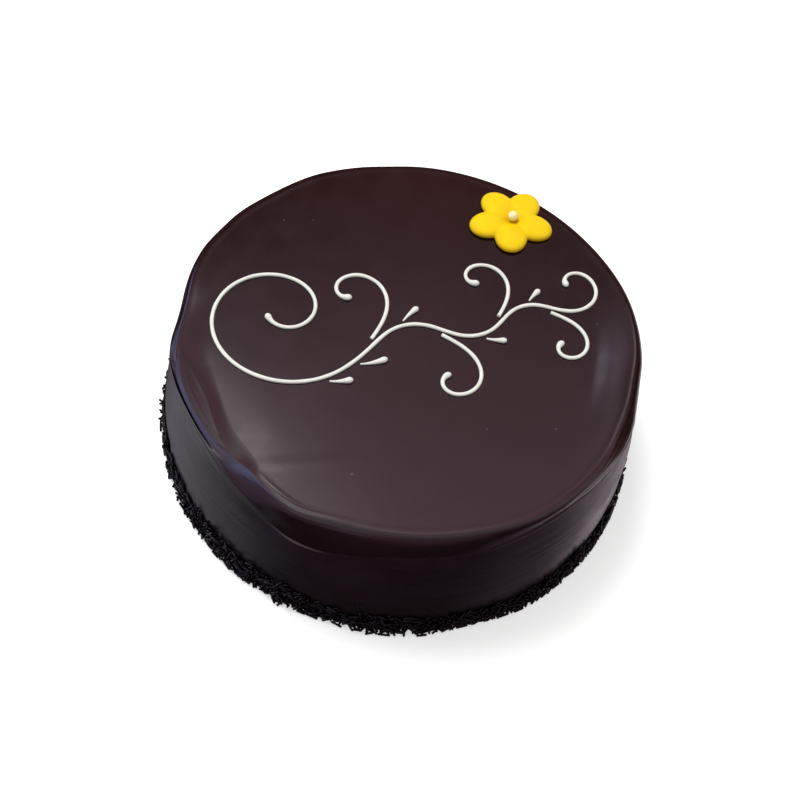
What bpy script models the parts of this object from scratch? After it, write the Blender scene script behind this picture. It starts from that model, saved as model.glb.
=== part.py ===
"""A glazed chocolate torte with a piped scroll, a sugar flower and a border of sprinkles.

Frame: metres, +Z up, origin on the table under the middle of the cake.  +X runs along the
piped scroll, from its big spiral to its tip, and +Y points from the scroll to the flower.
Azimuths are degrees from +X towards +Y.  Sizes are in metres, written as a number of MM.
"""

from math import atan2, cos, degrees, exp, hypot, radians, sin, sqrt

import bpy

MM = 0.001
GAP = 0.3 * MM                  # air left between pieces that touch

# The cake under its glaze.
HEIGHT = 68.5 * MM              # table to the crest round the top
DISH = 0.5 * MM                 # how far the middle of the top lies below the crest
CREST_RADIUS = 98.0 * MM        # where the flat top starts to roll over
EDGE_RADIUS = 99.8 * MM         # the side wall carried up to the top
EDGE_DEPTH = 2.0 * MM           # how far down the wall starts to swell
FOOT_RADIUS = 106.0 * MM        # the wall where it has swollen fully and stands upright
FOOT_HEIGHT = 12.0 * MM
FOOT_TUCK = 1.6 * MM            # rounding under the foot
SWELL = 0.8                     # below 1 the wall swells mostly near the top
SKIRT_DEPTH = 10.0 * MM         # crest down to the lip of the poured top coat
ROLL_DEPTH = 9.0 * MM           # crest down to where the roll-over has ended
COAT = 0.5 * MM                 # thickness of the top coat on the wall, down to its lip
LIP = 0.9 * MM                  # rounding of that lip
LEAN = 0.9 * MM                 # the foot stands this far to one side of the top
LEAN_AZIMUTH = 156
ROUND_STEPS = 80

# Uneven glaze, as soft hills round the cake: (azimuth, half width in degrees, size).
RIM_HILLS = ((-48, 8, 0.6 * MM), (-29, 9, -1.8 * MM), (0, 12, 0.6 * MM), (79, 7, -0.8 * MM), (100, 8, 0.7 * MM),
             (124, 7, 0.8 * MM), (138, 7, 0.9 * MM), (158, 9, -2.2 * MM), (176, 10, 1.2 * MM))
CREST_HILLS = ((-148, 12, -3.6 * MM), (-124, 9, -1.2 * MM), (-80, 11, 1.2 * MM), (-43, 10, -2.6 * MM))
SKIRT_HILLS = ((-130, 16, 8.0 * MM), (-95, 13, 2.0 * MM), (-46, 9, -3.5 * MM), (-178, 14, -3.5 * MM),
               (15, 25, 3.0 * MM), (75, 20, -3.0 * MM), (125, 25, 4.0 * MM))

# The border: sprinkles heaped against the foot.
BORDER_WIDTH = 2.5 * MM
BORDER_HEIGHT = 9.5 * MM
# How far the heap is wider or higher in places, and its small bumps: shares of the sizes above.
WIDTH_HILLS = ((-158, 16, -0.5), (156, 25, 0.9), (-42, 24, -0.4), (-122, 14, 0.2))
HEIGHT_HILLS = ((-140, 30, 0.25), (160, 35, 0.4), (-85, 15, -0.12), (60, 40, -0.1))
BORDER_RIPPLE = 0.09

# The sugar flower: five round petals pressed together, and a pearl in the middle.
FLOWER_PLACE = (63.5 * MM, 50.2 * MM)
PETALS = ((-112, 11.7 * MM), (-179, 13.0 * MM), (109, 11.7 * MM), (40, 11.7 * MM), (-38, 11.7 * MM))
PETAL_RADIUS = 7.6 * MM
PETAL_HEIGHT = 3.4 * MM         # above the flower's widest line
HOLLOW_RADIUS = 9.0 * MM        # the middle, where the petals join
HOLLOW_HEIGHT = 1.6 * MM
UNDERSIDE = 0.8 * MM            # below the flower's widest line
PEARL_RADIUS = 2.35 * MM

# The piped scroll.
LINE_RADIUS = 0.85 * MM         # half the width of a piped line
BLOB_RADIUS = 1.45 * MM         # where the bag stops and starts
LEAF_RADIUS = 1.65 * MM         # the fat end of a leaf
PEN_STEP = 0.1 * MM
SCROLL_START = (-58.0 * MM, 22.0 * MM)
SCROLL_HEADING = -86
EASE = 14                       # degrees in which a bend of the wave tightens, and slackens

# Each arc of a stroke is (degrees turned to the left, first radius, last radius), the
# radii in millimetres.  A radius of 0 is a straight line.
SPIRAL = ((235, 9.0, 22), (160, 22, 34), (66, 34, 36), (20, 36, 0))
WAVES = ((-72, 19), (74, 17), (-68, 15))
TIP = ((14, 0, 15), (120, 15, 10.5), (190, 10.5, 4.2))
TENDRIL_SIZES = (18, 16, 15, 13)
# A leaf's place: (millimetres along the stem from the first tendril, side, angle, length).
LEAVES = ((-28, -1, 30, 9), (-13, -1, 42, 11), (16, 1, 40, 9), (51, -1, 40, 8), (79, 1, 50, 7))


def hills(azimuth, rows):
    """The sum of the soft hills at one azimuth."""
    total = 0
    for centre, half_width, size in rows:
        apart = (azimuth - centre + 180) % 360 - 180
        total += size * exp(-(apart / half_width) ** 2)
    return total


def between(value, low, high):
    """How far the value is from low to high, kept within 0 and 1."""
    return min(1, max(0, (value - low) / (high - low)))


def top_height(radius):
    """Height of the cake's top at a radius, inside the crest."""
    return HEIGHT - DISH * (1 - (radius / CREST_RADIUS) ** 2) ** 2


def material(name, colour, roughness, coat=0.0):
    """A plain Principled material."""
    made = bpy.data.materials.new(name)
    made.use_nodes = True
    shader = made.node_tree.nodes["Principled BSDF"]
    shader.inputs["Base Color"].default_value = (*colour, 1)
    shader.inputs["Metallic"].default_value = 0
    shader.inputs["Roughness"].default_value = roughness
    shader.inputs["Coat Weight"].default_value = coat
    return made


def add(name, data, look):
    """Puts new object data in the cake's collection."""
    piece = bpy.data.objects.new(name, data)
    cake.objects.link(piece)
    data.materials.append(look)
    return piece


def turned(name, profile, closed, look):
    """A profile of (radius, height) points turned once round Z, as a plain mesh."""
    mesh = bpy.data.meshes.new(name)
    edges = [(i, i + 1) for i in range(len(profile) - 1)]
    if closed:
        edges.append((len(profile) - 1, 0))
    mesh.from_pydata([(radius, 0, z) for radius, z in profile], edges, [])
    piece = add(name, mesh, look)
    turn = piece.modifiers.new("Turn", "SCREW")
    turn.steps = ROUND_STEPS
    turn.render_steps = ROUND_STEPS
    turn.use_merge_vertices = True
    turn.merge_threshold = 0.01 * MM
    bpy.context.view_layer.update()
    evaluated = piece.evaluated_get(bpy.context.evaluated_depsgraph_get())
    piece.data = bpy.data.meshes.new_from_object(evaluated)
    piece.data.name = name
    piece.modifiers.clear()
    bpy.data.meshes.remove(mesh)
    return piece


def shape(piece, place):
    """Moves each point of a turned piece to place(radius, azimuth, z)."""
    for vertex in piece.data.vertices:
        x, y, z = vertex.co
        radius, azimuth, z = place(hypot(x, y), degrees(atan2(y, x)), z)
        lean = LEAN * (1 - z / HEIGHT)
        vertex.co.x = radius * cos(radians(azimuth)) + lean * cos(radians(LEAN_AZIMUTH))
        vertex.co.y = radius * sin(radians(azimuth)) + lean * sin(radians(LEAN_AZIMUTH))
        vertex.co.z = z
    piece.data.shade_smooth()
    piece.data.set_sharp_from_angle(angle=radians(55))


# ---- the cake ----

def side_radius(depth):
    """Radius of the side wall at a depth below the crest: it swells out, then stands upright."""
    share = between(depth, EDGE_DEPTH, HEIGHT - FOOT_HEIGHT)
    return EDGE_RADIUS + (FOOT_RADIUS - EDGE_RADIUS) * sin(radians(90 * share)) ** SWELL


def torte_profile():
    """The even cake's half section: over the top, down the side and back under it."""
    points = [(share * CREST_RADIUS, top_height(share * CREST_RADIUS)) for share in (0, 0.3, 0.55, 0.75, 0.9)]
    for share in (0, 0.02, 0.09, 0.22, 0.42, 0.7, 1):
        rolled = (EDGE_RADIUS + COAT - CREST_RADIUS) * (1 - sqrt(share)) ** 1.6
        points.append((side_radius(share * ROLL_DEPTH) + COAT - rolled, HEIGHT - share * ROLL_DEPTH))
    points.append((side_radius(SKIRT_DEPTH) + 0.7 * COAT, HEIGHT - SKIRT_DEPTH + 0.4 * LIP))
    for share in (0, 0.15, 0.35, 0.6, 1):
        depth = SKIRT_DEPTH + (HEIGHT - FOOT_HEIGHT - SKIRT_DEPTH) * share
        points.append((side_radius(depth), HEIGHT - depth))
    points.append((FOOT_RADIUS, FOOT_TUCK))
    points.append((FOOT_RADIUS - 0.3 * FOOT_TUCK, 0.3 * FOOT_TUCK))
    points.append((FOOT_RADIUS - FOOT_TUCK, 0))
    points.append((0, 0))
    return points


def on_torte(radius, azimuth, z):
    """Where the glaze has really run to, from a point of the even cake."""
    depth = HEIGHT - z
    foot_depth = HEIGHT - FOOT_HEIGHT
    on_top = between(radius, 0.75 * CREST_RADIUS, CREST_RADIUS)
    if radius < CREST_RADIUS or depth > foot_depth:
        settled = depth
    else:
        skirt = SKIRT_DEPTH + hills(azimuth, SKIRT_HILLS)
        below = between(depth, SKIRT_DEPTH, foot_depth)
        settled = skirt * between(depth, 0, SKIRT_DEPTH) + (foot_depth - skirt) * below
        radius += side_radius(settled) - side_radius(depth)
    radius += on_top * (1 - between(settled, 0, foot_depth)) * hills(azimuth, RIM_HILLS)
    radius += on_top * (1 - between(depth, 0, ROLL_DEPTH)) * hills(azimuth, CREST_HILLS)
    return radius, azimuth, HEIGHT - settled


def build_torte():
    shape(turned("glazed_torte", torte_profile(), False,
                 material("chocolate_glaze", (0.032, 0.013, 0.012), 0.22, 0.6)), on_torte)


# ---- the sprinkle border ----

def border_profile():
    """The heap's section: out over its top, down its outside and up along the foot."""
    inside = FOOT_RADIUS + GAP
    points = [(inside, BORDER_HEIGHT)]
    for turn in (25, 50, 72):
        points.append((inside + BORDER_WIDTH * sin(radians(turn)), BORDER_HEIGHT * cos(radians(turn))))
    points.append((inside + 0.97 * BORDER_WIDTH, 0))
    points.append((inside, 0))
    return points


def on_border(radius, azimuth, z):
    """The heap grows and shrinks round the cake, from the foot outwards and from the table up."""
    ripple = sin(radians(11 * azimuth + 40)) + 0.7 * sin(radians(23 * azimuth))
    wider = 1 + hills(azimuth, WIDTH_HILLS) + BORDER_RIPPLE * ripple
    higher = 1 + hills(azimuth, HEIGHT_HILLS) + BORDER_RIPPLE * ripple
    inside = FOOT_RADIUS + GAP
    return inside + (radius - inside) * wider, azimuth, z * higher


def build_border():
    shape(turned("sprinkle_border", border_profile(), True,
                 material("chocolate_sprinkle", (0.012, 0.007, 0.007), 0.35)), on_border)


# ---- the flower ----

def petal_reach(azimuth):
    """The flower's outline: how far it reaches from its middle."""
    reach = HOLLOW_RADIUS
    for centre, distance in PETALS:
        apart = radians((azimuth - centre + 180) % 360 - 180)
        across = distance * sin(apart)
        if cos(apart) > 0 and abs(across) < PETAL_RADIUS:
            reach = max(reach, distance * cos(apart) + sqrt(PETAL_RADIUS ** 2 - across ** 2))
    return reach


def petal_height(x, y):
    """Height of the flower's upper face: five puffed petals round a hollow, softly joined."""
    def puff(height, share):
        return height * max(0, 1 - share ** 2) ** 0.4

    heights = [puff(HOLLOW_HEIGHT, hypot(x, y) / HOLLOW_RADIUS)]
    for centre, distance in PETALS:
        apart = hypot(x - distance * cos(radians(centre)), y - distance * sin(radians(centre)))
        heights.append(puff(PETAL_HEIGHT, apart / PETAL_RADIUS))
    return sum(height ** 6 for height in heights) ** (1 / 6)


def build_flower():
    bpy.ops.mesh.primitive_uv_sphere_add(segments=60, ring_count=10, radius=1)
    flower = adopt("sugar_flower", material("yellow_sugar", (0.92, 0.60, 0.01), 0.5))
    for vertex in flower.data.vertices:
        azimuth = degrees(atan2(vertex.co.y, vertex.co.x))
        share = hypot(vertex.co.x, vertex.co.y)
        reach = share * petal_reach(azimuth)
        x = reach * cos(radians(azimuth))
        y = reach * sin(radians(azimuth))
        if vertex.co.z > 0.001:
            vertex.co = (x, y, petal_height(x, y))
        else:
            vertex.co = (x, y, -UNDERSIDE * min(1, 2.6 * sqrt(max(0, 1 - share))))
    flower.location = (*FLOWER_PLACE, HEIGHT + GAP + UNDERSIDE)
    flower.data.shade_smooth()


def build_pearl():
    bpy.ops.mesh.primitive_uv_sphere_add(segments=16, ring_count=8, radius=PEARL_RADIUS)
    pearl = adopt("flower_pearl", material("pale_pearl", (0.86, 0.80, 0.45), 0.35))
    height = HEIGHT + GAP + UNDERSIDE + petal_height(0, 0)
    pearl.location = (*FLOWER_PLACE, height + GAP + PEARL_RADIUS)
    pearl.data.shade_smooth()


def adopt(name, look):
    """Names the primitive just added and moves it into the cake's collection."""
    piece = bpy.context.active_object
    for home in piece.users_collection:
        home.objects.unlink(piece)
    cake.objects.link(piece)
    piece.name = name
    piece.data.name = name
    piece.data.materials.append(look)
    return piece


# ---- the piped scroll ----

def arc_length(arc):
    """Length in metres of one arc whose bend changes evenly along it."""
    turn, first, last = arc
    bends = [0 if radius == 0 else 1 / (radius * MM) for radius in (first, last)]
    return 2 * radians(abs(turn)) / sum(bends)


def drawn(start, heading, arcs):
    """Draws a row of arcs in short even steps, as points (x, y, heading, bend)."""
    x, y = start
    track = []
    for arc in arcs:
        turn, first, last = arc
        side = 1 if turn > 0 else -1
        bend = 0 if first == 0 else side / (first * MM)
        last_bend = 0 if last == 0 else side / (last * MM)
        steps = round(arc_length(arc) / PEN_STEP)
        change = (last_bend - bend) / steps
        for _ in range(steps):
            track.append((x, y, heading, bend))
            middle = radians(heading) + (bend + change / 4) * PEN_STEP / 2
            x += cos(middle) * PEN_STEP
            y += sin(middle) * PEN_STEP
            heading += degrees((bend + change / 2) * PEN_STEP)
            bend += change
    return track


def line_radius(along, length, start_radius, end_radius):
    """Half width of a piped line: blobs at its ends, rounded off, and a little thinner midway."""
    radius = LINE_RADIUS * (1 - 0.12 * sin(radians(180 * along / length)))
    for distance, blob in ((along, start_radius), (length - along, end_radius)):
        swollen = (blob - LINE_RADIUS) * exp(-((distance - blob) / (1.6 * blob)) ** 2)
        radius = max(radius, LINE_RADIUS + swollen) if blob > LINE_RADIUS else radius
        radius *= sqrt(1 - (1 - between(distance, -0.1 * blob, blob)) ** 2)
    return radius


def pipe(name, track, width, look):
    """A piped line: a round bead lying on the glaze, along every chosen point of the track."""
    length = len(track) * PEN_STEP
    stations = [0]
    while stations[-1] < len(track) - 1:
        along = stations[-1] * PEN_STEP
        end = min(along, length - along)
        bend = abs(track[stations[-1]][3])
        step = min(5 * MM, radians(17) / max(bend, 1 / MM / 1000), 0.45 * MM + 0.5 * end)
        stations.append(min(len(track) - 1, stations[-1] + max(1, round(step / PEN_STEP))))
    curve = bpy.data.curves.new(name, "CURVE")
    curve.dimensions = "3D"
    curve.bevel_depth = 1
    curve.bevel_resolution = 2
    curve.use_fill_caps = True
    line = curve.splines.new("POLY")
    line.points.add(len(stations) - 1)
    for point, station in zip(line.points, stations):
        x, y = track[station][:2]
        radius = width(station * PEN_STEP, length)
        point.co = (x, y, top_height(hypot(x, y)) + GAP + radius, 1)
        point.radius = radius
    add(name, curve, look)


def beside(track, along, side, distance):
    """A place beside the stem and the stem's heading there; side 1 is its left."""
    x, y, heading, _ = track[round(along / PEN_STEP)]
    across = radians(heading + 90 * side)
    return (x + distance * cos(across), y + distance * sin(across)), heading


def wave(turn, radius):
    """One bend of the waving stem, eased in and out of the straight."""
    ease = EASE if turn > 0 else -EASE
    return ((ease, 0, radius), (turn - 2 * ease, radius, radius), (ease, radius, 0))


def build_scroll():
    look = material("white_icing", (0.86, 0.85, 0.78), 0.45)
    arcs = list(SPIRAL)
    joints = [sum(arc_length(arc) for arc in arcs)]
    for bend in WAVES:
        arcs.extend(wave(*bend))
        joints.append(sum(arc_length(arc) for arc in arcs))
    arcs.extend(TIP)
    stem = drawn(SCROLL_START, SCROLL_HEADING, arcs)
    pipe("scroll_stem", stem, lambda along, length: line_radius(along, length, BLOB_RADIUS, BLOB_RADIUS), look)
    clear = LINE_RADIUS + BLOB_RADIUS + GAP
    for number, (along, size) in enumerate(zip(joints, TENDRIL_SIZES)):
        side = 1 if number % 2 == 0 else -1
        place, heading = beside(stem, along, side, clear)
        curl = ((38 * side, 0, size), (110 * side, size, 0.55 * size), (175 * side, 0.55 * size, 0.23 * size))
        pipe(f"scroll_tendril_{number + 1}", drawn(place, heading + 10 * side, curl),
             lambda along, length: line_radius(along, length, LINE_RADIUS, BLOB_RADIUS), look)
    for number, (along, side, angle, length) in enumerate(LEAVES):
        place, heading = beside(stem, joints[0] + along * MM, side, clear)
        leaf = ((-2 * side * length, 30, 30),)
        pipe(f"scroll_leaf_{number + 1}", drawn(place, heading + angle * side, leaf), leaf_radius, look)


def leaf_radius(along, length):
    """Half width of a leaf: a thin stalk that swells to a fat round end."""
    swelling = 0.45 * LINE_RADIUS + (LEAF_RADIUS - 0.45 * LINE_RADIUS) * (along / length) ** 1.5
    return swelling * sqrt(1 - (1 - between(length - along, -0.1 * LEAF_RADIUS, LEAF_RADIUS)) ** 2)


for old in list(bpy.data.objects):
    bpy.data.objects.remove(old)
cake = bpy.data.collections.new("Glazed torte")
bpy.context.scene.collection.children.link(cake)
build_torte()
build_border()
build_flower()
build_pearl()
build_scroll()
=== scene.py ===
"""The looks of a glazed chocolate torte: a poured top coat, spread sides, a piped scroll, a sugar flower
and a border of sprinkles.

Metres, +Z up, in the frame of the solids.  Azimuths are degrees from +X towards +Y.  The sizes that
the solids were drawn with are repeated here; the torte's height, for the camera, and the box of all the solids are read
from the frame.
"""

from math import atan2, cos, degrees, exp, floor, hypot, pi, radians, sin, sqrt

import bmesh
import bpy
import numpy as np
from mathutils import Matrix, Vector, noise


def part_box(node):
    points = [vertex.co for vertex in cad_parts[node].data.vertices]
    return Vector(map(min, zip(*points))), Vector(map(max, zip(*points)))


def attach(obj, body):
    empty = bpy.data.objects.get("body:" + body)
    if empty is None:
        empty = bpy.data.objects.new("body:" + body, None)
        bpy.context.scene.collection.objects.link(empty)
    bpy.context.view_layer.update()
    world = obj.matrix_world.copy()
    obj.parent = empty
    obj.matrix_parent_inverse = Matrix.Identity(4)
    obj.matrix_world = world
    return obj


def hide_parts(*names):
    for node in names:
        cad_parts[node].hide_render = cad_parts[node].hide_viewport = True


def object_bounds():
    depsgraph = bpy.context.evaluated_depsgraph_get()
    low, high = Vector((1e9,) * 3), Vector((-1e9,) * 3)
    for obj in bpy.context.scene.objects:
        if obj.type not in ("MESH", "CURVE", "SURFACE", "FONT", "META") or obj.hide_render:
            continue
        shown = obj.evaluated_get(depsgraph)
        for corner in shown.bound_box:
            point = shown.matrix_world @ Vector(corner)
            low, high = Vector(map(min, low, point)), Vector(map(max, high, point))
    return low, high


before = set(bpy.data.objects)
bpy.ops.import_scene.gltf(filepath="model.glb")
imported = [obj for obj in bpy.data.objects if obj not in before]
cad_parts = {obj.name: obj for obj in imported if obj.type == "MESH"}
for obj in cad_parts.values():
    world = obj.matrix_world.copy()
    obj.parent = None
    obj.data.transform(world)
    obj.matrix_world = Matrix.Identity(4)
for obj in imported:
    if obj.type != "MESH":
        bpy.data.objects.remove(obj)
cad_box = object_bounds()

MM = 0.001
scene = bpy.context.scene
scene.view_settings.view_transform = "Standard"


# ---- the camera ----

VIEW_ELEVATION = 55.07          # degrees above the table
VIEW_ROLL = 8.68
VIEW_AZIMUTH = -23.817          # degrees that the line of sight is turned from +Y
VIEW_DISTANCE = 550 * MM
VIEW_OFFSET = (-2.10 * MM, -10.04 * MM)     # the camera's axis from the torte's middle, right and up
LENS = 55.05                    # for a sensor 36 wide


def add_camera():
    """The camera looks down on the torte from the front, a little rolled."""
    middle = Vector((0, 0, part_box("glazed_torte")[1].z / 2))
    facing = Matrix.Rotation(radians(VIEW_AZIMUTH), 3, "Z")
    facing @= Matrix.Rotation(radians(90 - VIEW_ELEVATION), 3, "X")
    facing @= Matrix.Rotation(radians(VIEW_ROLL), 3, "Z")
    place = middle + facing @ Vector((*VIEW_OFFSET, VIEW_DISTANCE))
    camera = bpy.data.objects.new("Camera", bpy.data.cameras.new("Camera"))
    camera.data.lens = LENS
    camera.data.sensor_width = 36
    camera.matrix_world = Matrix.Translation(place) @ facing.to_4x4()
    scene.collection.objects.link(camera)
    scene.camera = camera


# ---- helpers ----

def node(tree, kind, inputs=None, **settings):
    """Adds a shader node; each input is a plain value or another node's output."""
    made = tree.nodes.new(kind)
    for name, value in settings.items():
        setattr(made, name, value)
    for key, value in (inputs or {}).items():
        if isinstance(value, bpy.types.NodeSocket):
            tree.links.new(value, made.inputs[key])
        else:
            made.inputs[key].default_value = value
    return made


def blend(tree, share, low, high):
    """The colour that goes from low to high as share goes from 0 to 1."""
    return node(tree, "ShaderNodeMix", {0: share, 6: low, 7: high}, data_type="RGBA").outputs[2]


def spread(tree, value, low, high, first=0.0, last=1.0):
    """A value from low to high, as a soft step from first to last."""
    inputs = {"Value": value, "From Min": low, "From Max": high, "To Min": first, "To Max": last}
    return node(tree, "ShaderNodeMapRange", inputs, interpolation_type="SMOOTHSTEP").outputs["Result"]


def spread_evenly(tree, value, low, high, first=0.0, last=1.0):
    """A value from low to high, along a straight line from first to last."""
    inputs = {"Value": value, "From Min": low, "From Max": high, "To Min": first, "To Max": last}
    return node(tree, "ShaderNodeMapRange", inputs).outputs["Result"]


def toward_lamp(left, up):
    """A direction in the studio: degrees to the left of the line of sight, and degrees up."""
    around = radians(90 + VIEW_AZIMUTH + left)
    return Vector((cos(around) * cos(radians(up)), sin(around) * cos(radians(up)), sin(radians(up))))


# ---- the studio ----

# The room that the glaze mirrors, over the head from the far side to the near side: (degrees up from
# the far horizon, brightness of red, green and blue).  Below 0 is the table.
ROOM = ((-180, 0.44, 0.21, 0.29), (-150, 0.11, 0.05, 0.08), (-125, 0.03, 0.02, 0.03), (-105, 0.02, 0.02, 0.02),
        (-85, 0.06, 0.05, 0.06), (-65, 0.16, 0.14, 0.18), (-50, 0.06, 0.05, 0.06), (-5, 0.05, 0.01, 0.01),
        (12, 0.17, 0.07, 0.05), (26, 0.26, 0.15, 0.11), (38, 0.30, 0.13, 0.10), (46, 0.30, 0.07, 0.06),
        (52, 0.80, 0.50, 0.58), (58, 1.30, 0.82, 0.98), (64, 1.05, 0.50, 0.66), (76, 0.99, 0.57, 0.64),
        (90, 1.03, 0.77, 0.91), (108, 1.00, 0.83, 0.95), (125, 0.84, 0.64, 0.75), (150, 0.57, 0.38, 0.49),
        (180, 0.44, 0.21, 0.29))
BRIGHTEST = 2.0                 # what a ramp's full white stands for
# Soft lamps in it: (left, up, bright within, gone by, colour), the first four in degrees.
SOFT_LAMPS = (
    # the windows that light the left and the right of the top
    (20, 62, 2, 6, (4.6, 4.2, 4.4)),
    (14, 60.5, 1.5, 7, (0.8, 0.8, 0.85)),
    (-24.5, 50, 1, 4.5, (3.6, 3.4, 4.2)),
    (-2, 45, 3, 12, (0.14, 0.08, 0.07)),
    # dark screens on both sides of the far wall
    (-17, 47, 3, 11, (-0.22, -0.13, -0.15)),
    (15, 47, 3, 11, (-0.2, -0.12, -0.14)),
    # lamps high up, which edge the crest
    (0, 70, 4, 10, (0.7, 0.7, 0.7)),
    (40, 68, 4, 12, (0.5, 0.9, 0.9)),
    (55, 70, 4, 14, (1.0, 1.0, 1.1)),
    (100, 70, 5, 16, (0.9, 1.3, 1.15)),
    (-30, 75, 4, 14, (0.7, 0.45, 0.6)),
    # the evening side: brown above, blue near the table
    (95, 56, 6, 18, (0.6, 0.42, 0.5)),
    (62, 20, 6, 20, (0.9, 1.1, 2.0)),
    (95, 22, 16, 26, (0.62, 0.82, 2.0)),
    (150, 20, 10, 36, (0.45, 0.4, 0.5)),
    # bright parts of the table
    (84, -45, 10, 33, (0.26, 0.25, 0.28)),
    (90, -15, 8, 26, (2.2, 2.4, 2.7)),
    (120, -15, 8, 26, (0.3, 0.23, 0.38)),
    (-30, -15, 8, 26, (0.6, 0.42, 0.46)),
    (-90, -15, 8, 26, (0.4, 0.21, 0.21)),
    (-32, -50, 8, 33, (0.6, 0.52, 0.55)),
    (-86, -33, 4, 13, (1.1, 1.0, 1.05)),
    (-98, -52, 8, 26, (0.1, 0.07, 0.09)),
)


def add_world():
    """An even white light for matt surfaces, and a dim room with soft lamps for the glaze to mirror."""
    world = bpy.data.worlds.new("Studio")
    world.use_nodes = True
    world.cycles.sampling_method = "NONE"
    scene.world = world
    tree = world.node_tree
    tree.nodes.clear()
    toward = node(tree, "ShaderNodeTexCoord").outputs["Generated"]
    away = node(tree, "ShaderNodeVectorMath", {0: toward, 1: toward_lamp(0, 0)}, operation="DOT_PRODUCT")
    height = node(tree, "ShaderNodeSeparateXYZ", {0: toward}).outputs["Z"]
    overhead = node(tree, "ShaderNodeMath", {0: height, 1: away.outputs["Value"]}, operation="ARCTAN2").outputs[0]
    turn = spread_evenly(tree, overhead, -pi, pi)
    room = node(tree, "ShaderNodeValToRGB", {"Fac": turn})
    for _ in ROOM[2:]:
        room.color_ramp.elements.new(0.5)
    for stop, (angle, *colour) in zip(room.color_ramp.elements, ROOM):
        stop.position = (angle + 180) / 360
        stop.color = (*(channel / BRIGHTEST for channel in colour), 1)
    seen = node(tree, "ShaderNodeVectorMath", {0: room.outputs[0], "Scale": BRIGHTEST}, operation="SCALE").outputs[0]
    for left, up, bright, gone, colour in SOFT_LAMPS:
        facing = node(tree, "ShaderNodeVectorMath", {0: toward, 1: toward_lamp(left, up)}, operation="DOT_PRODUCT")
        share = spread(tree, facing.outputs["Value"], cos(radians(gone)), cos(radians(bright)))
        glow = node(tree, "ShaderNodeVectorMath", {0: colour, "Scale": share}, operation="SCALE")
        seen = node(tree, "ShaderNodeVectorMath", {0: seen, 1: glow.outputs[0]}, operation="ADD").outputs[0]
    ray = node(tree, "ShaderNodeLightPath")
    mirrored = node(tree, "ShaderNodeBackground", {"Color": seen}).outputs[0]
    even = node(tree, "ShaderNodeBackground", {"Color": (1, 0.99, 0.98, 1), "Strength": EVEN_LIGHT}).outputs[0]
    white = node(tree, "ShaderNodeBackground", {"Strength": 1.05, "Color": (1, 1, 1, 1)}).outputs[0]
    lit = node(tree, "ShaderNodeMixShader", {0: ray.outputs["Is Glossy Ray"], 1: even, 2: mirrored}).outputs[0]
    both = node(tree, "ShaderNodeMixShader", {0: ray.outputs["Is Camera Ray"], 1: lit, 2: white}).outputs[0]
    node(tree, "ShaderNodeOutputWorld", {"Surface": both})


EVEN_LIGHT = 0.55
KEY_PLACE = (52, 67)            # degrees left and up
KEY_DISTANCE = 1.5
KEY_SIZE = 0.7
KEY_POWER = 15


def add_key_light():
    """A wide soft light over the far left, for matt surfaces and the soft shadow."""
    lamp = bpy.data.lights.new("Key light", "AREA")
    lamp.shape = "DISK"
    lamp.size = KEY_SIZE
    lamp.energy = KEY_POWER
    direction = toward_lamp(*KEY_PLACE)
    light = bpy.data.objects.new("Key light", lamp)
    light.matrix_world = Matrix.Translation(direction * KEY_DISTANCE) @ direction.to_track_quat("Z", "Y").to_matrix().to_4x4()
    light.visible_glossy = False
    light.visible_camera = False
    scene.collection.objects.link(light)


def add_floor():
    """A wide white table, which the glaze doesn't mirror."""
    shape = bmesh.new()
    bmesh.ops.create_grid(shape, x_segments=1, y_segments=1, size=4)
    mesh = bpy.data.meshes.new("Table")
    shape.to_mesh(mesh)
    shape.free()
    table = bpy.data.objects.new("Table", mesh)
    scene.collection.objects.link(table)
    look = bpy.data.materials.new("White table")
    look.use_nodes = True
    shader = look.node_tree.nodes["Principled BSDF"]
    shader.inputs["Base Color"].default_value = (0.9, 0.9, 0.9, 1)
    shader.inputs["Roughness"].default_value = 1
    shader.inputs["Specular IOR Level"].default_value = 0
    shader.inputs["Emission Color"].default_value = (1, 1, 1, 1)
    shader.inputs["Emission Strength"].default_value = 0.46
    mesh.materials.append(look)
    table.visible_glossy = False


# ---- sizes that the solids were drawn with ----

HEIGHT = 68.5 * MM
DISH = 0.5 * MM
CREST_RADIUS = 98.0 * MM
EDGE_RADIUS = 99.8 * MM
EDGE_DEPTH = 2.0 * MM
FOOT_RADIUS = 106.0 * MM
FOOT_HEIGHT = 12.0 * MM
FOOT_TUCK = 1.6 * MM
SWELL = 0.8
SKIRT_DEPTH = 10.0 * MM
ROLL_DEPTH = 9.0 * MM
COAT = 0.5 * MM
LEAN = 0.9 * MM
LEAN_AZIMUTH = 156
RIM_HILLS = ((-48, 8, 0.6 * MM), (-29, 9, -1.8 * MM), (0, 12, 0.6 * MM), (79, 7, -0.8 * MM),
             (100, 8, 0.7 * MM), (124, 7, 0.8 * MM), (138, 7, 0.9 * MM), (158, 9, -2.2 * MM),
             (176, 10, 1.2 * MM))
CREST_HILLS = ((-150, 8, -2.2 * MM), (-133, 7, 1.9 * MM), (-76, 13, 1.8 * MM), (-44, 9, -1.9 * MM))
SKIRT_HILLS = ((-130, 15, 8.0 * MM), (-92, 7, 1.2 * MM), (-66, 16, -3.6 * MM), (-46, 9, -2.5 * MM),
               (-163, 11, -2.4 * MM), (-178, 14, -3.5 * MM), (15, 25, 3.0 * MM), (75, 20, -3.0 * MM),
               (125, 25, 4.0 * MM))
PEN_STEP = 0.1 * MM


def hills(azimuth, rows):
    """The sum of the soft hills at one azimuth."""
    total = 0
    for centre, half_width, size in rows:
        apart = (azimuth - centre + 180) % 360 - 180
        total += size * exp(-(apart / half_width) ** 2)
    return total


def between(value, low, high):
    """How far the value is from low to high, kept within 0 and 1."""
    return min(1, max(0, (value - low) / (high - low)))


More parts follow.
